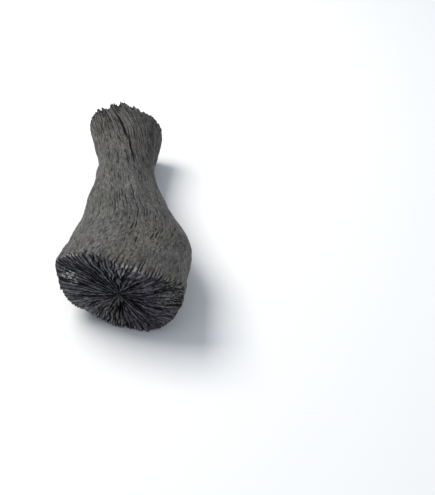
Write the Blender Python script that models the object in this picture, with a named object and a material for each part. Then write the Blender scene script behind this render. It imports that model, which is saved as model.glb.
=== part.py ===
"""A lump of hardwood charcoal: one length of branch that flares into its foot and was cut across at both ends.

X runs across the lump, Y along it from the wide foot to the far end, and Z up from the floor it lies on.
The wood shrank as it charred, so radial checks open both cut faces and run a short way along the branch.
"""

import math

import bpy
import numpy as np

MM = 0.001
SEED = 11

# The cut face of the foot: its rim, as seen square on along Y, starting at +X and going over the top.
FOOT_RIM = np.array(
    (
        (31.5, 33.0),
        (31.4, 43.8),
        (24.5, 46.2),
        (15.0, 49.5),
        (5.0, 52.7),
        (-6.0, 56.0),
        (-18.0, 56.8),
        (-30.0, 51.8),
        (-37.3, 45.5),
        (-39.0, 33.0),
        (-37.5, 17.0),
        (-32.0, 9.5),
        (-23.0, 7.2),
        (-14.5, 1.5),
        (-3.0, -0.7),
        (9.0, -0.7),
        (18.5, 5.0),
        (27.0, 19.5),
    )
) * MM
FOOT_PITH = np.array((-3.5, 33.9)) * MM
FOOT_Y = -88.5 * MM
FOOT_TURN = -0.36  # how far the cut face swings along Y for each step across
FOOT_REACH = 32.0 * MM
FOOT_CROWN = 4.6 * MM  # how far the face has fallen back at that distance from its pith
FOOT_FADE = 0.10  # share of the length over which the rim's own outline gives way to the round branch
FOOT_TWIST = 0.025  # share of a turn by which the grain winds between the branch and the rim

# The far end, cut a little askew as well.
FAR_PITH = np.array((1.0, 24.5)) * MM
FAR_Y = 89.5 * MM
FAR_TURN = -0.27
FAR_REACH = 25.0 * MM
FAR_CROWN = 2.0 * MM

# Cross sections of the branch: share of the length, then left side, right side, underside and top.
# The underside dips below the floor at both ends, where it is cut flat: those are the two resting pads.
SECTIONS = np.array(
    (
        (0.00, -44.0, 33.0, -0.6, 54.0),
        (0.12, -39.0, 35.5, 0.0, 51.5),
        (0.28, -32.0, 39.5, 1.0, 47.5),
        (0.48, -24.0, 28.0, 2.2, 43.5),
        (0.74, -19.0, 19.0, 1.0, 42.5),
        (1.00, -25.5, 26.5, -0.8, 46.5),
    )
)
SQUARENESS = 2.2  # 2 is an ellipse, and more is fuller at the corners

# Radial checks, evenly round the branch but for a little unevenness.
CHECKS = 28
UNEVENNESS = 0.16  # of the spacing, either way
LIP = 0.085  # of the spacing, from the middle of a check to its lip
CROWN = 0.5  # of the spacing, where the wood between two checks stands highest
FLUTE = 0.35 * MM  # how proud it stands there
FOOT_CHECK_DEPTH = 3.0 * MM
FAR_CHECK_DEPTH = 2.5 * MM
RIM_DEPTH_SHARE = 0.6  # a check is shallower where it breaks out through the rim
RIM_NOTCH = 1.3 * MM  # how far it bites into the side there
OPENING = 0.40  # share of the radius over which a check grows to its full depth

# Long checks down the branch: number of the check, where each starts and ends, and its depth.
LONG_CHECKS = (
    (8, 0.62, 0.99, 1.9 * MM),
    (9, 0.78, 0.99, 1.2 * MM),
    (5, 0.80, 0.99, 1.3 * MM),
    (6, 0.86, 0.99, 1.0 * MM),
    (11, 0.66, 0.86, 0.9 * MM),
    (15, 0.30, 0.62, 0.9 * MM),
    (25, 0.35, 0.70, 1.0 * MM),
)

# Rows of points: shares of the length along the branch, and of the radius across each cut face.
BRANCH_ROWS = np.array(
    (
        0, 0.015, 0.035, 0.06, 0.09, 0.13, 0.18, 0.24, 0.30, 0.36, 0.43, 0.50,
        0.57, 0.64, 0.70, 0.76, 0.82, 0.87, 0.91, 0.945, 0.97, 0.985, 1,
    )
)
FOOT_ROWS = np.array((0.12, 0.24, 0.38, 0.54, 0.70, 0.84, 0.94))
FAR_ROWS = np.array((0.92, 0.78, 0.58, 0.36, 0.16))

CHARCOAL_COLOUR = (0.095, 0.090, 0.088, 1.0)
CHARCOAL_ROUGHNESS = 0.85


def clear_scene():
    for obj in list(bpy.data.objects):
        bpy.data.objects.remove(obj, do_unlink=True)


def ease(value, start, end):
    """0 before start, 1 after end, and smooth between."""
    t = np.clip((value - start) / (end - start), 0, 1)
    return t * t * (3 - 2 * t)


def smooth_values(shares, values, at):
    """A smooth curve through the values given at these shares of the way."""
    slopes = np.gradient(values, shares)
    i = np.clip(np.searchsorted(shares, at, side="right") - 1, 0, len(shares) - 2)
    gap = shares[i + 1] - shares[i]
    t = (at - shares[i]) / gap
    start = values[i] * (1 + 2 * t) + slopes[i] * gap * t
    end = values[i + 1] * (3 - 2 * t) + slopes[i + 1] * gap * (t - 1)
    return start * (1 - t) ** 2 + end * t**2


def closed_curve(points, turn):
    """The closed smooth curve through these points, at shares of one turn counted along its chords."""
    chords = np.linalg.norm(np.roll(points, -1, axis=0) - points, axis=1)
    reached = np.concatenate(([0], np.cumsum(chords))) / chords.sum()
    # One turn before and one after, so that the curve is as smooth where it closes as elsewhere.
    shares = np.concatenate((reached[:-1] - 1, reached[:-1], reached + 1))
    looped = np.concatenate((points, points, points, points[:1]))
    return np.stack([smooth_values(shares, looped[:, i], turn) for i in (0, 1)], axis=-1)


def round_section(along, turn):
    """The plain cross section of the branch: an oval between its four sides."""
    left, right, under, top = (
        smooth_values(SECTIONS[:, 0], SECTIONS[:, side] * MM, along) for side in (1, 2, 3, 4)
    )
    cos, sin = np.cos(2 * math.pi * turn), np.sin(2 * math.pi * turn)
    power = 2 / SQUARENESS
    across = (left + right) / 2 + (right - left) / 2 * np.sign(cos) * np.abs(cos) ** power
    up = (under + top) / 2 + (top - under) / 2 * np.sign(sin) * np.abs(sin) ** power
    return np.stack((across, up), axis=-1)


def branch_section(along, turn):
    """The cross section with the foot's own outline, which fades along the branch."""
    rim = closed_curve(FOOT_RIM, turn - FOOT_TWIST)
    own = rim - round_section(np.zeros_like(turn), turn)
    return round_section(along, turn) + own * np.exp(-along / FOOT_FADE)[..., None]


def foot_face(section):
    """Where the foot's cut face lies along Y: a turned plane that falls back from its pith."""
    away = np.linalg.norm(section - FOOT_PITH, axis=-1) / FOOT_REACH
    return FOOT_Y + FOOT_TURN * section[..., 0] + FOOT_CROWN * away**2


def far_face(section):
    away = np.linalg.norm(section - FAR_PITH, axis=-1) / FAR_REACH
    return FAR_Y + FAR_TURN * section[..., 0] - FAR_CROWN * away**2


class Checks:
    """How deep each radial check of one cut face is, where it starts, and how far it runs along the branch."""

    def __init__(self, random, depth):
        self.depth = depth * random.uniform(0.45, 1.0, CHECKS)
        self.start = random.uniform(0.0, 0.4, CHECKS)
        self.run = random.uniform(0.02, 0.09, CHECKS)

    def across_face(self, radius):
        """Depth at this share of the way from pith to rim."""
        return self.depth * ease(radius, self.start, self.start + OPENING)

    def along_side(self, distance):
        """Depth of the notches in the side at this distance from the rim, as a share of the length."""
        return RIM_NOTCH * self.depth / self.depth.max() * np.exp(-distance / self.run)


def long_check_depth(along):
    """Depth of the long checks, for each row along the branch and each check."""
    depth = np.zeros((len(along), CHECKS))
    for number, start, end, deepest in LONG_CHECKS:
        way = np.clip((along[:, 0] - start) / (end - start), 0, 1)
        depth[:, number] += deepest * np.sqrt(np.sin(math.pi * way).clip(0))
    return depth


def columns_round(random):
    """Places round the branch: for each check its middle, a lip, the crown beside it and the next lip."""
    middles = np.arange(CHECKS) + random.uniform(-UNEVENNESS, UNEVENNESS, CHECKS)
    offsets = np.array((0, LIP, CROWN, 1 - LIP))
    return ((middles[:, None] + offsets) / CHECKS).ravel()


def only_at(offset, values):
    """Values of each check, set on the one column of its four that has this number, and 0 on the others."""
    spread = np.zeros((*values.shape, 4))
    spread[..., offset] = values
    return spread.reshape(*values.shape[:-1], -1)


def branch_points(turn, foot, far):
    """Rows of points along the side of the branch, with its notches, long checks and flutes."""
    along = BRANCH_ROWS[:, None]
    section = branch_section(along + 0 * turn, turn + 0 * along)
    heart = FOOT_PITH * (1 - along) + FAR_PITH * along
    outwards = section - heart[:, None, :]
    outwards /= np.linalg.norm(outwards, axis=-1, keepdims=True)
    cut = foot.along_side(along) + far.along_side(1 - along) + long_check_depth(along)
    proud = only_at(2, np.full((len(along), CHECKS), FLUTE)) - only_at(0, cut)
    section += outwards * proud[..., None]
    section[..., 1] = section[..., 1].clip(0)
    y = (1 - along) * foot_face(section) + along * far_face(section)
    y[0] += only_at(0, foot.across_face(1.0)) * RIM_DEPTH_SHARE
    y[-1] -= only_at(0, far.across_face(1.0)) * RIM_DEPTH_SHARE
    return np.stack((section[..., 0], y, section[..., 1]), axis=-1)


def face_points(rim, radius, pith, face, cut):
    """Rows of points across a cut face between its pith and its rim, sunk where they lie in a check."""
    section = pith + (rim[:, (0, 2)] - pith) * radius[:, None, None]
    y = face(section) + only_at(0, cut)
    return np.stack((section[..., 0], y, section[..., 1]), axis=-1)


def lump_mesh(rows, foot_middle, far_middle):
    """Faces between the rows, closed by a fan round the pith at each end."""
    columns = rows.shape[1]
    points = np.concatenate((rows.reshape(-1, 3), (foot_middle, far_middle)))
    foot_index, far_index = len(points) - 2, len(points) - 1
    last = far_index - 1 - columns
    faces = []
    for column in range(columns):
        beside = (column + 1) % columns
        faces.append((foot_index, column, beside))
        faces.append((far_index, last + beside, last + column))
        for near in range(0, last, columns):
            far = near + columns
            faces.append((near + column, far + column, far + beside, near + beside))
    mesh = bpy.data.meshes.new("charcoal_lump")
    mesh.from_pydata(points.tolist(), [], faces)
    return mesh


def charcoal_material():
    material = bpy.data.materials.new("charcoal")
    material.use_nodes = True
    shader = material.node_tree.nodes["Principled BSDF"]
    shader.inputs["Base Color"].default_value = CHARCOAL_COLOUR
    shader.inputs["Roughness"].default_value = CHARCOAL_ROUGHNESS
    shader.inputs["Metallic"].default_value = 0.0
    return material


def build_lump():
    random = np.random.default_rng(SEED)
    turn = columns_round(random)
    foot = Checks(random, FOOT_CHECK_DEPTH)
    far = Checks(random, FAR_CHECK_DEPTH)
    branch = branch_points(turn, foot, far)
    foot_cut = foot.across_face(FOOT_ROWS[:, None])
    far_cut = far.across_face(FAR_ROWS[:, None])
    foot_rows = face_points(branch[0], FOOT_ROWS, FOOT_PITH, foot_face, foot_cut)
    far_rows = face_points(branch[-1], FAR_ROWS, FAR_PITH, far_face, -far_cut)
    rows = np.concatenate((foot_rows, branch, far_rows))
    foot_middle = (FOOT_PITH[0], foot_face(FOOT_PITH), FOOT_PITH[1])
    far_middle = (FAR_PITH[0], far_face(FAR_PITH), FAR_PITH[1])
    mesh = lump_mesh(rows, foot_middle, far_middle)
    mesh.materials.append(charcoal_material())
    mesh.shade_smooth()
    lump = bpy.data.objects.new("charcoal_lump", mesh)
    bpy.context.scene.collection.objects.link(lump)


clear_scene()
build_lump()
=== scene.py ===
"""A lump of hardwood charcoal: one flared length of branch, charred right through and cut across at both ends.

Metres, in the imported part's frame: X runs across the lump, Y along it from the wide foot to the far end, and Z up
from the floor it lies on.
"""

import math

import bpy
import numpy as np
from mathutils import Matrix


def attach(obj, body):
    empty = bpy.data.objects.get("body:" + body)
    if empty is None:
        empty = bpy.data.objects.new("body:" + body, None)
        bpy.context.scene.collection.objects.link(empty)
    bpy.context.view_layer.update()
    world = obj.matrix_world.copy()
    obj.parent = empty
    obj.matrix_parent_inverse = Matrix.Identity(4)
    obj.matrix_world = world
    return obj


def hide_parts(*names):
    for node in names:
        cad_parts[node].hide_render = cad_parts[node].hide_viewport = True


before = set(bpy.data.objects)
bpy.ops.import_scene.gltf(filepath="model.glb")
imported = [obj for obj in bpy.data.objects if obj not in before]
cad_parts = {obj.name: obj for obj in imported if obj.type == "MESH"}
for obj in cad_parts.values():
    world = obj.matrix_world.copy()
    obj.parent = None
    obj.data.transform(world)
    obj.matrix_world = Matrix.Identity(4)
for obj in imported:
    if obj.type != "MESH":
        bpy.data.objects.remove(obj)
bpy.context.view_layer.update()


# The branch as it grew. A length of hardwood whose foot flares where it left the trunk, lying on its side. Its
# plain shape is a run of ovals from the foot to the far end, with the foot's own sawn outline fading into them.

MM = 0.001

FOOT_RIM = np.array(
    (
        (31.5, 33.0), (31.4, 43.8), (24.5, 46.2), (15.0, 49.5), (5.0, 52.7), (-6.0, 56.0),
        (-18.0, 56.8), (-30.0, 51.8), (-37.3, 45.5), (-39.0, 33.0), (-37.5, 17.0), (-32.0, 9.5),
        (-23.0, 7.2), (-14.5, 1.5), (-3.0, -0.7), (9.0, -0.7), (18.5, 5.0), (27.0, 19.5),
    )
) * MM  # across and up, starting at +X and going over the top
FOOT_PITH = np.array((-3.5, 33.9)) * MM
FOOT_Y = -88.5 * MM
FOOT_TURN = -0.36
FOOT_REACH = 32.0 * MM
FOOT_CROWN = 4.6 * MM
FOOT_FADE = 0.10
FOOT_TWIST = 0.025
FAR_PITH = np.array((1.0, 24.5)) * MM
FAR_Y = 89.5 * MM
FAR_TURN = -0.27
FAR_REACH = 25.0 * MM
FAR_CROWN = 2.0 * MM
BRANCH_LENGTH = 182.0 * MM
SECTIONS = np.array(
    (
        (0.00, -44.0, 33.0, -0.6, 54.0),
        (0.12, -39.0, 35.5, 0.0, 51.5),
        (0.28, -32.0, 39.5, 1.0, 47.5),
        (0.48, -24.0, 28.0, 2.2, 43.5),
        (0.74, -19.0, 19.0, 1.0, 42.5),
        (1.00, -25.5, 26.5, -0.8, 46.5),
    )
)  # share of the length, then left side, right side, underside and top in millimetres
SQUARENESS = 2.2


def ease(value, start, end):
    """0 before start, 1 after end, and smooth between."""
    t = np.clip((value - start) / (end - start), 0, 1)
    return t * t * (3 - 2 * t)


def smooth_values(shares, values, at):
    """A smooth curve through the values given at these shares of the way."""
    slopes = np.gradient(values, shares)
    i = np.clip(np.searchsorted(shares, at, side="right") - 1, 0, len(shares) - 2)
    gap = shares[i + 1] - shares[i]
    t = (at - shares[i]) / gap
    start = values[i] * (1 + 2 * t) + slopes[i] * gap * t
    end = values[i + 1] * (3 - 2 * t) + slopes[i + 1] * gap * (t - 1)
    return start * (1 - t) ** 2 + end * t**2


def closed_curve(points, turn):
    """The closed smooth curve through these points, at shares of one turn counted along its chords."""
    chords = np.linalg.norm(np.roll(points, -1, axis=0) - points, axis=1)
    reached = np.concatenate(([0], np.cumsum(chords))) / chords.sum()
    shares = np.concatenate((reached[:-1] - 1, reached[:-1], reached + 1))
    looped = np.concatenate((points, points, points, points[:1]))
    return np.stack([smooth_values(shares, looped[:, i], turn) for i in (0, 1)], axis=-1)


def round_section(along, turn):
    """The plain cross section of the branch: an oval between its four sides."""
    left, right, under, top = (
        smooth_values(SECTIONS[:, 0], SECTIONS[:, side] * MM, along) for side in (1, 2, 3, 4)
    )
    cos, sin = np.cos(2 * math.pi * turn), np.sin(2 * math.pi * turn)
    power = 2 / SQUARENESS
    across = (left + right) / 2 + (right - left) / 2 * np.sign(cos) * np.abs(cos) ** power
    up = (under + top) / 2 + (top - under) / 2 * np.sign(sin) * np.abs(sin) ** power
    return np.stack((across, up), axis=-1)


def branch_section(along, turn):
    """The cross section with the foot's own outline, which fades along the branch."""
    rim = closed_curve(FOOT_RIM, (turn - FOOT_TWIST) % 1)
    own = rim - round_section(np.zeros_like(turn), turn)
    return round_section(along, turn) + own * np.exp(-along / FOOT_FADE)[..., None]


def foot_face(section):
    """Where the foot's cut face lies along Y: a turned plane that falls back from its pith."""
    away = np.linalg.norm(section - FOOT_PITH, axis=-1) / FOOT_REACH
    return FOOT_Y + FOOT_TURN * section[..., 0] + FOOT_CROWN * away**2


def far_face(section):
    away = np.linalg.norm(section - FAR_PITH, axis=-1) / FAR_REACH
    return FAR_Y + FAR_TURN * section[..., 0] - FAR_CROWN * away**2


# The rows of points that its surface is made of. Each goes once round the lump; the rows run from the pith of the
# foot over its rim, along the branch and over the far rim to the other pith, closer together at the rims.

random = np.random.default_rng(5)

CHECKS = 120
ACROSS = 4  # points from one check to the next: its bottom, a lip, the top of the ridge, the next lip
COLUMNS = CHECKS * ACROSS
FOOT_ROWS, BODY_ROWS, FAR_ROWS = 48, 134, 24


def closer_rows(count, places, spacings):
    """Shares of the way from 0 to 1, closer together where the spacing asked for is small."""
    shares = np.linspace(0, 1, 2001)
    reached = np.cumsum(1 / np.interp(shares, places, spacings))
    return np.interp(np.linspace(reached[0], reached[-1], count), reached, shares)


foot_shares = closer_rows(FOOT_ROWS + 2, (0, 0.1, 0.5, 0.9, 1), (0.8, 1.1, 1.2, 1.0, 0.5))[1:-1]
body_shares = closer_rows(
    BODY_ROWS,
    (0, 0.02, 0.1, 0.3, 0.38, 0.42, 0.5, 0.8, 0.93, 0.985, 1),
    (5, 7, 12, 13, 16, 16, 22, 20, 13, 8, 5),
)
far_shares = 1 - closer_rows(FAR_ROWS + 2, (0, 0.1, 0.5, 0.9, 1), (0.4, 1.0, 1.6, 1.3, 1))[1:-1]
along = np.concatenate((np.zeros(FOOT_ROWS), body_shares, np.ones(FAR_ROWS)))[:, None]
share = np.concatenate((foot_shares, np.ones(BODY_ROWS), far_shares))[:, None]
way = along * BRANCH_LENGTH + (1 - share) * np.where(along < 0.5, -FOOT_REACH, FAR_REACH)
on_foot = (np.arange(len(way)) < FOOT_ROWS)[:, None]
on_far = (np.arange(len(way)) >= FOOT_ROWS + BODY_ROWS)[:, None]
on_body = ~(on_foot | on_far)
foot_rim_row, far_rim_row = FOOT_ROWS, FOOT_ROWS + BODY_ROWS - 1
to_foot_rim = np.abs(way)
to_far_rim = np.abs(way - BRANCH_LENGTH)


def wander(step, spread, columns=CHECKS):
    """Random values of about 1 for each row and column: smooth over a step along and over a spread across."""
    at = (way[:, 0] - way.min()) / step
    table = random.standard_normal((int(at.max()) + 3, columns))
    if spread:
        waves = np.fft.fftfreq(columns) * 2 * math.pi * spread
        table = np.fft.ifft(np.fft.fft(table, axis=1) * np.exp(-(waves**2) / 2), axis=1).real
        table /= table.std()
    i = at.astype(int)
    t = ease(at - i, 0, 1)[:, None]
    return table[i] * (1 - t) + table[i + 1] * t


# The grain. It runs along the branch, and winds round it where the foot flares and where a limb once left the far
# end on its right side.

FOOT_WIND, FOOT_WIND_AT, FOOT_WIND_SPREAD = 0.045, 0.36, 0.22  # all in turns
FAR_WIND, FAR_WIND_AT, FAR_WIND_SPREAD = 0.14, 0.06, 0.38
FOOT_WIND_END, FAR_WIND_START = 0.30, 0.66


def swell(turn, middle, spread):
    """1 at the middle, falling smoothly to 0 at a spread to either side."""
    off = np.clip(np.abs((turn - middle + 0.5) % 1 - 0.5) / spread, 0, 1)
    return np.cos(off * math.pi / 2) ** 2


def wound(turn):
    """Where each line of the grain lies round the branch in each row."""
    foot = np.clip(1 - along / FOOT_WIND_END, 0, 1) ** 2 * swell(turn, FOOT_WIND_AT, FOOT_WIND_SPREAD)
    far = np.clip((along - FAR_WIND_START) / (1 - FAR_WIND_START), 0, 1) ** 1.5
    return turn + FOOT_WIND * foot + FAR_WIND * far * swell(turn, FAR_WIND_AT, FAR_WIND_SPREAD)


def on_rows(turn):
    """Points of the smooth lump, across and up, at these places round each row."""
    section = branch_section(along + 0 * turn, turn)
    pith = np.where(on_far[..., None], FAR_PITH, FOOT_PITH)
    return pith + (section - pith) * share[..., None]


# The checks. Wood shrinks more round the branch than along it as it chars, so it splits along its rays: checks
# open at the pith of each cut face, fork towards the rim, and run on along the branch as grooves in its skin.

UNEVENNESS = 0.16
FORK = 1.0 * MM  # a check starts where its neighbours are this far off


def check_starts(turn, reach):
    """The share of the radius at which each check starts: where the wood beside it has grown wide enough to fork."""
    starts = np.zeros(CHECKS)
    gaps = np.full(CHECKS, 0.5)
    left = np.ones(CHECKS, bool)
    check = 0
    for _ in range(CHECKS):
        starts[check] = FORK / (2 * math.pi * reach * gaps[check])
        left[check] = False
        gaps = np.minimum(gaps, np.abs((turn - turn[check] + 0.5) % 1 - 0.5))
        check = np.argmax(gaps * left)
    return (starts * random.uniform(0.8, 1.3, CHECKS)).clip(0, 1)


inside = ease(1 - share, 0, 0.4)
evenly = np.arange(CHECKS) + random.uniform(-UNEVENNESS, UNEVENNESS, CHECKS)
weave = (0.22 + 1.0 * inside) * wander(16 * MM, 8) + (0.12 + 0.25 * inside) * wander(6 * MM, 2)
check_at = evenly + weave + 0.06 * wander(8 * MM, 0) + 0.15 * ~on_body * wander(2.0 * MM, 0).clip(-1.5, 1.5)
check_turn = wound(check_at / CHECKS)
foot_starts = check_starts(check_turn[foot_rim_row], FOOT_REACH)
far_starts = check_starts(check_turn[far_rim_row], FAR_REACH)


def some(low, high):
    return random.uniform(low, high, CHECKS)


calm = 1 - 0.7 * swell(check_turn[foot_rim_row], 0.03, 0.22)
foot_depth = (3.2 - 1.5 * foot_starts) * some(0.7, 1.15) * MM
foot_width = (0.52 - 0.08 * foot_starts) * some(0.75, 1.25) * MM
foot_run = (4.4 - 1.6 * foot_starts) * some(0.4, 1.6) * calm * MM
far_depth = (3.0 - 1.4 * far_starts) * some(0.7, 1.15) * MM
far_width = (0.44 - 0.12 * far_starts) * some(0.7, 1.2) * MM
far_run = (18 - 15 * far_starts) * some(0.3, 1.4) * (1 + swell(check_turn[far_rim_row], 0.19, 0.13)) * MM

pinch = 0.22 + 0.78 * ease(wander(1.9 * MM, 0), -1.6, -0.1)
foot_left = np.where(on_far, 0, np.where(on_foot, 1, np.exp(-to_foot_rim / foot_run)))
far_left = np.where(on_foot, 0, np.where(on_far, 1, np.exp(-to_far_rim / far_run)))
foot_checks = foot_depth * foot_left * np.where(on_foot, ease(share, foot_starts, foot_starts + 0.12), 1)
far_checks = far_depth * far_left * np.where(on_far, ease(share, far_starts, far_starts + 0.15), 0.6)
streak = wander(3.5 * MM, 0) + 0.8 * wander(12 * MM, 0) + 0.4 * wander(20 * MM, 5)
seldom = 1.0 - 0.8 * ease(along, 0.35, 0.6)
grooves = (0.04 + 0.80 * ease(streak, seldom - 0.4, seldom + 1.5)) * MM * on_body
check_depth = np.maximum(np.maximum(foot_checks, far_checks) * pinch, grooves)
cut_share = np.maximum(foot_left, far_left)
groove_width = 0.16 * MM + 0.40 * grooves
cut_width = np.where(along < 0.5, foot_width, far_width) * (0.35 + 0.65 * pinch) * (1 + 0.35 * on_body)
check_width = cut_width * cut_share + groove_width * (1 - cut_share)

LONG_CHECKS = (
    (0.211, 0.780, 0.960, 3.6 * MM, 0.86 * MM),
    (0.203, 0.640, 0.825, 3.2 * MM, 0.80 * MM),
    (0.281, 0.855, 0.985, 1.8 * MM, 0.38 * MM),
    (0.357, 0.740, 0.860, 1.6 * MM, 0.34 * MM),
    (0.276, 0.640, 0.705, 1.4 * MM, 0.34 * MM),
    (0.150, 0.760, 0.930, 1.6 * MM, 0.36 * MM),
    (0.090, 0.780, 0.960, 1.6 * MM, 0.36 * MM),
    (0.540, 0.300, 0.620, 1.4 * MM, 0.34 * MM),
    (0.880, 0.350, 0.700, 1.5 * MM, 0.34 * MM),
)  # where it runs round the neck, from and to what share of the length, how deep, and how wide to either side
for turn, start, end, depth, width in LONG_CHECKS:
    check = np.argmin(np.abs(evenly / CHECKS - turn))
    way_along = np.clip((along - start) / (end - start), 0, 1)
    opened = (np.sin(math.pi * way_along) ** 0.6 * on_body)[:, 0]
    check_depth[:, check] = np.maximum(check_depth[:, check], depth * opened)
    check_width[:, check] = np.maximum(check_width[:, check], width * opened)

SPLITS = (
    (0.580, 0.03, 0.66, 0.68),
    (0.150, 0.03, 0.85, 0.58),
    (0.268, 0.10, 0.72, 0.44),
    (0.738, 0.34, 0.85, 0.50),
    (0.915, 0.05, 0.35, 0.42),
)  # the widest checks of the foot's face: where, from and to what share of the radius, how wide to either side
SPLIT_DEPTH = 4.2 * MM
for turn, start, end, width in SPLITS:
    check = np.argmin(np.abs(check_turn[foot_rim_row] - turn))
    opened = (ease(share, start - 0.05, start + 0.05) * (1 - ease(share, end - 0.1, end + 0.15)) * on_foot)[:, 0]
    check_depth[:, check] = np.maximum(check_depth[:, check], SPLIT_DEPTH * opened)
    check_width[:, check] = np.maximum(check_width[:, check], width * MM * opened)


# The ridges between the checks. Points stand on the bottom and the lips of every check, and the wood between two
# lips is rounded and uneven, with a crumbled tip where it was cut.

apart = np.linalg.norm(np.roll(on_rows(check_turn), -1, axis=1) - on_rows(check_turn), axis=-1)
lip = np.clip(check_width / apart, 0.12, 0.38)
next_lip = np.clip(np.roll(check_width, -1, axis=1) / apart, 0.12, 0.38)
ridge = 1 - lip - next_lip
offsets = np.stack((0 * lip, lip, lip + 0.5 * ridge, 1 - next_lip), axis=-1)
next_at = np.roll(check_at, -1, axis=1)
next_at[:, -1] += CHECKS
column_at = (check_at[..., None] + (next_at - check_at)[..., None] * offsets).reshape(-1, COLUMNS)
column_turn = wound(column_at / CHECKS)

LIP_ROUND = 0.42 * MM
LIP_DROP = 0.34 * MM
NEAREST = 12

round_way = apart.sum(axis=1, keepdims=True)
check_reached = np.cumsum(apart, axis=1) - apart
column_reached = check_reached[..., None] + apart[..., None] * offsets
looped_reached = np.concatenate((check_reached - round_way, check_reached, check_reached + round_way), axis=1)
looped_depth = np.tile(check_depth, 3)
looped_width = np.tile(check_width, 3)
sink = np.zeros_like(column_reached)
drop = np.zeros_like(column_reached)
for step in range(-NEAREST, NEAREST + 1):
    these = slice(CHECKS + step, 2 * CHECKS + step)
    off = np.abs(column_reached - looped_reached[:, these, None])
    depth = looped_depth[:, these, None]
    sink = np.maximum(sink, depth * np.clip(1 - off / looped_width[:, these, None], 0, 1) ** 0.7)
    drop = np.maximum(drop, np.clip(depth / MM, 0, 1) * LIP_DROP * np.exp(-((off / LIP_ROUND) ** 2)))
sink = sink.reshape(-1, COLUMNS)
drop = drop.reshape(-1, COLUMNS)

TIP_REACH = 2.2 * MM
CORNER = 0.9 * MM
ridge_own = np.repeat(wander(3.5 * MM, 0), ACROSS, axis=1)
tips = np.repeat(random.standard_normal(CHECKS) * 0.5 - 2.2 * (random.random(CHECKS) < 0.12), ACROSS)
tip_share = np.exp(-np.minimum(to_foot_rim, to_far_rim) / TIP_REACH)
bumps = (
    0.40 * wander(24 * MM, 40, COLUMNS) * on_body
    + 0.20 * wander(8 * MM, 10, COLUMNS)
    + (0.13 + 0.12 * ~on_body) * ridge_own
    + 0.09 * ~on_body * np.repeat(wander(1.5 * MM, 0), ACROSS, axis=1)
    + 0.045 * wander(2.2 * MM, 0.6, COLUMNS)
) * MM
corner = np.exp(-np.minimum(to_foot_rim, to_far_rim) / CORNER)
proud = bumps - drop - sink
outward = proud * np.where(on_body, 1, 0.5 * corner) - 0.45 * MM * corner * on_body
lengthwise = proud * np.where(on_body, 0.8 * corner, 1) - 0.5 * MM * corner + tips * tip_share * MM

# The far end broke unevenly: how far its rim stands out along the branch, at places round it, in turns.
BROKEN_AT = np.array(
    (0.03, 0.087, 0.165, 0.178, 0.187, 0.21, 0.226, 0.24, 0.26, 0.268, 0.277, 0.294, 0.306, 0.309, 0.349, 0.356,
     0.37, 0.40, 0.47, 0.56, 0.57, 0.68, 0.69, 0.80, 0.93)
)
BROKEN_OUT = np.array(
    (1.0, -1.6, -2.8, -4.8, -2.2, 0.2, -1.4, 1.1, 2.5, -1.9, 0.7, 1.4, 0.0, -5.3, -0.3, -3.7,
     1.2, 0.2, 0.0, -1.5, 0.8, -0.4, -2.4, 0.3, 0.6)
) * MM
broken = np.interp(column_turn % 1, BROKEN_AT, BROKEN_OUT, period=1)
broken = broken * np.where(on_far, ease(share, 0.5, 1), ease(along, 0.93, 1))


def patch(section, middle, half_size, ragged):
    """1 inside an oval patch of the foot's face and 0 outside, with a ragged edge."""
    off = np.linalg.norm((section - np.array(middle) * MM) / (np.array(half_size) * MM), axis=-1)
    return (1 - ease(off + ragged, 0.65, 1.15)) * on_foot


points = on_rows(column_turn)
crumbs = wander(1.2 * MM, 1.1, COLUMNS)
ragged = 0.10 * wander(2.5 * MM, 4, COLUMNS) + 0.06 * crumbs
chip = patch(points, (24.5, 37.5), (8.0, 9.5), ragged)
striae = patch(points, (25.0, 27.0), (9.0, 5.0), ragged)
ash = patch(points, (-31.5, 36.8), (5.2, 6.6), ragged)
lobe = patch(points, (-8.2, 15.5), (5.0, 9.5), ragged)
pit = patch(points, (-2.6, 24.6), (1.7, 2.6), 0.5 * ragged)
pit = np.maximum(pit, patch(points, (-4.4, 21.0), (1.3, 2.8), 0.5 * ragged))
flake = patch(points, (-0.2, 48.6), (2.6, 2.6), ragged)
lengthwise = (
    lengthwise * (1 - 0.7 * chip) * (1 - 0.4 * ash)
    + (0.45 * crumbs - 1.0) * chip * MM
    + (0.22 * crumbs - 0.3) * ash * MM
    + 0.8 * MM * lobe
    - 2.4 * MM * pit
    + 0.7 * MM * flake
)

heart = np.where(on_far[..., None], FAR_PITH, np.where(on_foot[..., None], FOOT_PITH, 0))
heart = heart + on_body[..., None] * (FOOT_PITH * (1 - along[..., None]) + FAR_PITH * along[..., None])
outwards = points - heart
outwards /= np.linalg.norm(outwards, axis=-1, keepdims=True)
points = points + outwards * outward[..., None]
points[..., 1] = points[..., 1].clip(0)
y = (1 - along) * foot_face(points) + along * far_face(points)
y = y + np.where(along < 0.5, -1, 1) * lengthwise + broken
rows = np.stack((points[..., 0], y, points[..., 1]), axis=-1)

PITH_HOLE = 1.6 * MM
foot_middle = (FOOT_PITH[0], foot_face(FOOT_PITH) + PITH_HOLE, FOOT_PITH[1])
far_middle = (FAR_PITH[0], far_face(FAR_PITH) - PITH_HOLE, FAR_PITH[1])

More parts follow.
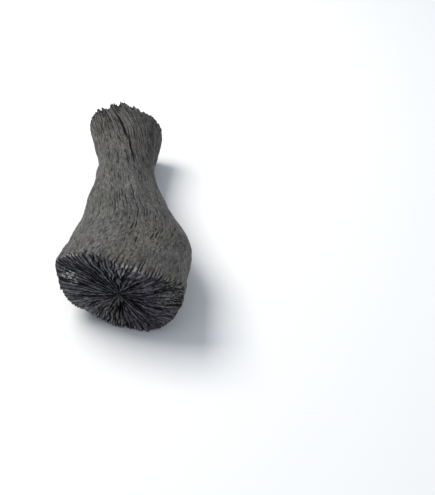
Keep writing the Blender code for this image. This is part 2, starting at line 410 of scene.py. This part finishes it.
row_count = len(rows)
vertices = np.concatenate((rows.reshape(-1, 3), (foot_middle, far_middle)))
index = np.arange(row_count * COLUMNS).reshape(row_count, COLUMNS)
beside = np.roll(index, -1, axis=1)
quads = np.stack((index[:-1], index[1:], beside[1:], beside[:-1]), axis=-1).reshape(-1, 4)
foot_index, far_index = row_count * COLUMNS, row_count * COLUMNS + 1
foot_fan = [(foot_index, a, b) for a, b in zip(index[0].tolist(), beside[0].tolist())]
far_fan = [(far_index, b, a) for a, b in zip(index[-1].tolist(), beside[-1].tolist())]
mesh = bpy.data.meshes.new("charcoal")
mesh.from_pydata(vertices.tolist(), [], quads.tolist() + foot_fan + far_fan)
mesh.shade_smooth()

# A flat map for its baked colours: the side unrolled over the upper part of a square, with the two cut ends as
# ovals below it.
STRIP_FROM = 0.36
FOOT_OVAL = (0.25, 0.18, 0.24, 0.17)  # its middle, then half its width and height
FAR_OVAL = (0.74, 0.18, -0.20, 0.17)  # drawn from right to left, because this end faces the other way


def on_oval(oval, out, column):
    """Places on the map for points this share of the way out from the pith, in these columns."""
    angle = 2 * math.pi * column / COLUMNS
    return np.stack((oval[0] + oval[2] * out * np.cos(angle), oval[1] + oval[3] * out * np.sin(angle)), axis=-1)


row_of = np.arange(row_count - 1)[:, None, None] + np.array((0, 1, 1, 0)) + np.zeros((COLUMNS, 1), int)
column_of = np.arange(COLUMNS)[:, None] + np.array((0, 0, 1, 1)) + 0 * row_of
unrolled = np.stack((1 - column_of / COLUMNS, STRIP_FROM + (1 - STRIP_FROM) * along[row_of, 0]), axis=-1)
first_row = row_of[:, :, :1, None]
places = np.where(first_row < foot_rim_row, on_oval(FOOT_OVAL, share[row_of, 0], column_of), unrolled)
places = np.where(first_row < far_rim_row, places, on_oval(FAR_OVAL, share[row_of, 0], column_of))
fan_columns = np.arange(COLUMNS)[:, None] + np.array((0, 0, 1))
foot_out = np.array((0, share[0, 0], share[0, 0]))
far_out = np.array((0, share[-1, 0], share[-1, 0]))
far_columns = np.arange(COLUMNS)[:, None] + np.array((0, 1, 0))
fans = (on_oval(FOOT_OVAL, foot_out, fan_columns), on_oval(FAR_OVAL, far_out, far_columns))
flat_map = np.concatenate([part.reshape(-1, 2) for part in (places, *fans)])
mesh.uv_layers.new(name="OFBake").data.foreach_set("uv", flat_map.astype(np.float32).ravel())


def keep(name, values, foot_value, far_value):
    """Stores a value, or a place, for each point of the mesh, for the materials to read."""
    values = values + 0 * column_turn if values.ndim == 2 else values
    flat = np.concatenate((values.reshape(row_count * COLUMNS, -1), np.atleast_2d(foot_value), np.atleast_2d(far_value)))
    kind, field = ("FLOAT_VECTOR", "vector") if values.ndim == 3 else ("FLOAT", "value")
    mesh.attributes.new(name, kind, "POINT").data.foreach_set(field, flat.astype(np.float32).ravel())


GRAIN_RADIUS = 25 * MM
grain_turn = 2 * math.pi * np.arange(COLUMNS) / COLUMNS + 0 * way
grain = (GRAIN_RADIUS * np.cos(grain_turn), GRAIN_RADIUS * np.sin(grain_turn), way + 0 * grain_turn)
keep("grain", np.stack(grain, axis=-1), (0, 0, -FOOT_REACH), (0, 0, BRANCH_LENGTH + FAR_REACH))
# hollow: how deep each point lies in a check or pit; the finish paints the deeper points darker, as painted shade.
keep("hollow", np.maximum(np.clip(sink / (0.6 * MM), 0, 1), pit), 1, 1)
keep("tone", np.repeat(wander(4 * MM, 0) * 0.6 + wander(15 * MM, 1) * 0.6, ACROSS, axis=1), 0, 0)
# crest: the top of each ridge, which the finish paints lighter, as painted highlight.
ridge_top = np.tile((0, 0.6, 1, 0.6), CHECKS)
keep("crest", ridge_top * ease(bumps, -0.35 * MM, 0.4 * MM), 0, 0)
onto_body = np.minimum(way, BRANCH_LENGTH - way) / MM
ridge_edge = np.repeat(1.1 * random.standard_normal(CHECKS), ACROSS)
keep("skin", ease(onto_body + ridge_edge, -3.0, 2.0), 0, 0)
# The frayed rim of the foot: its crumbled ridge tips are pale wood, and the finish paints them lighter still on the
# crests, as painted highlight.
frayed_and_highlit = np.exp(-np.abs(onto_body) / 4.5) * swell(column_turn, 0.21, 0.17)
tipped = np.exp(-((onto_body / 1.2) ** 2)) * swell(column_turn, 0.34, 0.22)
frayed_and_highlit = np.maximum(frayed_and_highlit, tipped) * (way < BRANCH_LENGTH / 2)
keep("frayed_and_highlit", np.maximum(frayed_and_highlit, 0.6 * striae), 0, 0)
keep("chip", chip, 0, 0)
keep("ash", ash, 0, 0)
keep("flake", flake, 0, 0)
keep("lobe", lobe, 0, 0)

lump = bpy.data.objects.new("charcoal", mesh)
bpy.context.scene.collection.objects.link(lump)


# Its finish, the same charred wood all over. The skin is grey-brown, with fine fibre along the grain and painted
# shade in its grooves. The cut ends are blacker and colder, with pale crumbled tips and painted highlight on their
# ridge crests, and one corner of the foot carries ash.

finish = bpy.data.materials.new("charred_wood")
finish.use_nodes = True
mesh.materials.append(finish)
tree = finish.node_tree
shader = tree.nodes["Principled BSDF"]
shader.inputs["Specular IOR Level"].default_value = 0.35


def add(kind, values, **settings):
    """A node of this kind, with its sockets set to values or joined to other nodes."""
    node = tree.nodes.new(kind)
    for name, value in settings.items():
        setattr(node, name, value)
    for name, value in values.items():
        if isinstance(value, bpy.types.NodeSocket):
            tree.links.new(value, node.inputs[name])
        else:
            node.inputs[name].default_value = value
    return node


def number(operation, first, second, third=0.0):
    return add("ShaderNodeMath", {0: first, 1: second, 2: third}, operation=operation).outputs["Value"]


def blended(share, first, second, way="MIX"):
    """first where share is 0 and second where it is 1."""
    sockets = {0: share, 6: colour_of(first), 7: colour_of(second)}
    return add("ShaderNodeMix", sockets, data_type="RGBA", blend_type=way).outputs[2]


def colour_of(value):
    return (*value, 1) if isinstance(value, tuple) else value


def between(value, low, high):
    """0 where value is low or less, 1 where it is high or more, and smooth between."""
    sockets = {"Value": value, "From Min": low, "From Max": high}
    return add("ShaderNodeMapRange", sockets, interpolation_type="SMOOTHSTEP").outputs["Result"]


def noise(size, detail=2.0):
    """Even noise whose spots are about this many millimetres across."""
    sockets = {"Vector": spot, "Scale": 1 / (size * MM), "Detail": detail}
    return add("ShaderNodeTexNoise", sockets).outputs["Fac"]


def fibre(width, length, detail=1.5):
    """Noise drawn out along the grain, its streaks about this many millimetres wide and long."""
    stretch = (1 / (width * MM), 1 / (width * MM), 1 / (length * MM))
    place = add("ShaderNodeVectorMath", {0: grain_place, 1: stretch}, operation="MULTIPLY").outputs["Vector"]
    return add("ShaderNodeTexNoise", {"Vector": place, "Scale": 1.0, "Detail": detail}).outputs["Fac"]


def stored(name):
    return add("ShaderNodeAttribute", {}, attribute_name=name).outputs["Fac"]


spot = add("ShaderNodeTexCoord", {}).outputs["Object"]
grain_place = add("ShaderNodeAttribute", {}, attribute_name="grain").outputs["Vector"]
# Painted shade: the colour is painted darker the deeper a point lies in a check or pit.
painted_crack_shade = between(stored("hollow"), 0.0, 0.45)
tone = stored("tone")
crest = stored("crest")

threads = between(fibre(0.24, 3.0), 0.34, 0.66)
strands = between(fibre(0.75, 3.6), 0.42, 0.56)
bands = between(fibre(1.5, 16.0), 0.36, 0.64)
dashes = between(fibre(0.65, 4.0, 1.0), 0.40, 0.36)
grains = between(noise(0.8), 0.40, 0.60)
grey = blended(strands, (0.022, 0.021, 0.021), (0.110, 0.107, 0.103))
grey = blended(0.18, grey, blended(bands, (0.024, 0.023, 0.022), (0.100, 0.097, 0.093)))
grey = blended(0.20, grey, blended(threads, (0.015, 0.015, 0.014), (0.130, 0.128, 0.122)))
grey = blended(0.34, grey, blended(grains, (0.012, 0.012, 0.011), (0.140, 0.137, 0.130)))
warm = between(noise(38.0), 0.44, 0.62)
grey = blended(warm, grey, (1.04, 0.98, 0.91), "MULTIPLY")
olive = between(noise(22.0), 0.48, 0.68)
grey = blended(olive, grey, (0.97, 0.98, 0.88), "MULTIPLY")
lit = number("MULTIPLY_ADD", tone, 0.18, 1.0)
grey = blended(1.0, grey, add("ShaderNodeCombineColor", {0: lit, 1: lit, 2: lit}).outputs[0], "MULTIPLY")
grey = blended(number("MULTIPLY", dashes, 0.7), grey, (0.020, 0.019, 0.019))
# Painted shade in the skin's grooves and checks.
grey = blended(painted_crack_shade, grey, (0.009, 0.009, 0.010))

nodules = between(noise(1.0, 3.0), 0.34, 0.64)
layers = between(fibre(0.5, 2.2, 2.0), 0.34, 0.64)
relief = number("MULTIPLY_ADD", nodules, 0.5, number("MULTIPLY", layers, 0.5))
# Painted highlight: the cut ends are painted lighter on the ridge crests. They are also lighter where the relief
# noise is high, and each ridge's own tone varies at random.
shade = number("MULTIPLY_ADD", tone, 0.14, number("MULTIPLY_ADD", crest, 0.45, number("MULTIPLY", relief, 0.6)))
black = blended(between(shade, 0.1, 1.0), (0.012, 0.012, 0.015), (0.165, 0.164, 0.176))
purple = between(noise(30.0, 1.0), 0.42, 0.60)
black = blended(purple, black, (1.03, 0.93, 1.06), "MULTIPLY")
black = blended(stored("lobe"), black, (0.98, 1.0, 0.78), "MULTIPLY")
crumbs_seen = between(noise(1.0), 0.42, 0.60)
black = blended(stored("chip"), black, blended(crumbs_seen, (0.022, 0.022, 0.020), (0.165, 0.162, 0.148)))
cells = between(noise(1.7), 0.45, 0.60)
black = blended(stored("ash"), black, blended(cells, (0.028, 0.031, 0.031), (0.36, 0.38, 0.37)))
black = blended(number("MULTIPLY", stored("flake"), crest), black, (0.22, 0.22, 0.23))
# Painted shade in the checks and pith pits of the cut ends.
black = blended(painted_crack_shade, black, (0.004, 0.004, 0.005))

wood = blended(stored("skin"), black, grey)
# Pale crumbled tips near the foot's rim, partly their own colour and partly painted highlight on the ridge crests.
pale = between(number("MULTIPLY", stored("frayed_and_highlit"), number("ADD", crest, nodules)), 0.7, 1.25)
wood = blended(pale, wood, (0.30, 0.295, 0.28))
tree.links.new(wood, shader.inputs["Base Color"])
tree.links.new(number("MULTIPLY_ADD", relief, 0.25, 0.5), shader.inputs["Roughness"])
height = number("MULTIPLY_ADD", relief, 0.5, number("MULTIPLY", strands, 0.5))
bump = add("ShaderNodeBump", {"Strength": 0.9, "Distance": 0.16 * MM, "Height": height})
tree.links.new(bump.outputs["Normal"], shader.inputs["Normal"])

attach(lump, "root")
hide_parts("charcoal_lump")


# The floor: a plain pale sheet of paper, much larger than the lump.

FLOOR_HALF = 4.0
floor_mesh = bpy.data.meshes.new("floor")
floor_corners = [(x * FLOOR_HALF, y * FLOOR_HALF, 0) for x, y in ((-1, -1), (1, -1), (1, 1), (-1, 1))]
floor_mesh.from_pydata(floor_corners, [], [(0, 1, 2, 3)])
floor = bpy.data.objects.new("floor", floor_mesh)
bpy.context.scene.collection.objects.link(floor)
paper = bpy.data.materials.new("paper")
paper.use_nodes = True
paper.node_tree.nodes["Principled BSDF"].inputs["Base Color"].default_value = (0.88, 0.88, 0.88, 1)
paper.node_tree.nodes["Principled BSDF"].inputs["Roughness"].default_value = 0.9
floor_mesh.materials.append(paper)


# The light: an even pale room, with one large soft lamp high on the left.

room = bpy.data.worlds.new("room")
room.use_nodes = True
room.node_tree.nodes["Background"].inputs["Color"].default_value = (0.84, 0.91, 1.0, 1)
room.node_tree.nodes["Background"].inputs["Strength"].default_value = 0.58
bpy.context.scene.world = room

lamp_data = bpy.data.lights.new("soft_lamp", "AREA")
lamp_data.energy = 10.5
lamp_data.size = 0.6
lamp_data.color = (1.0, 0.97, 0.93)
lamp = bpy.data.objects.new("soft_lamp", lamp_data)
lamp.location = (-0.45, 0.30, 0.85)
lamp.rotation_euler = (math.radians(-18), math.radians(-27), 0)
bpy.context.scene.collection.objects.link(lamp)


# The camera: where it stood over the lump in the photograph.

camera_data = bpy.data.cameras.new("camera")
camera_data.lens = 60
camera_data.sensor_width = 36
camera = bpy.data.objects.new("camera", camera_data)
camera.location = (0.021797, -0.413261, 0.360740)
camera.rotation_euler = (math.radians(90 - 42.172884), 0, math.radians(-5.139054))
bpy.context.scene.collection.objects.link(camera)
bpy.context.scene.camera = camera
bpy.context.scene.view_settings.view_transform = "Standard"
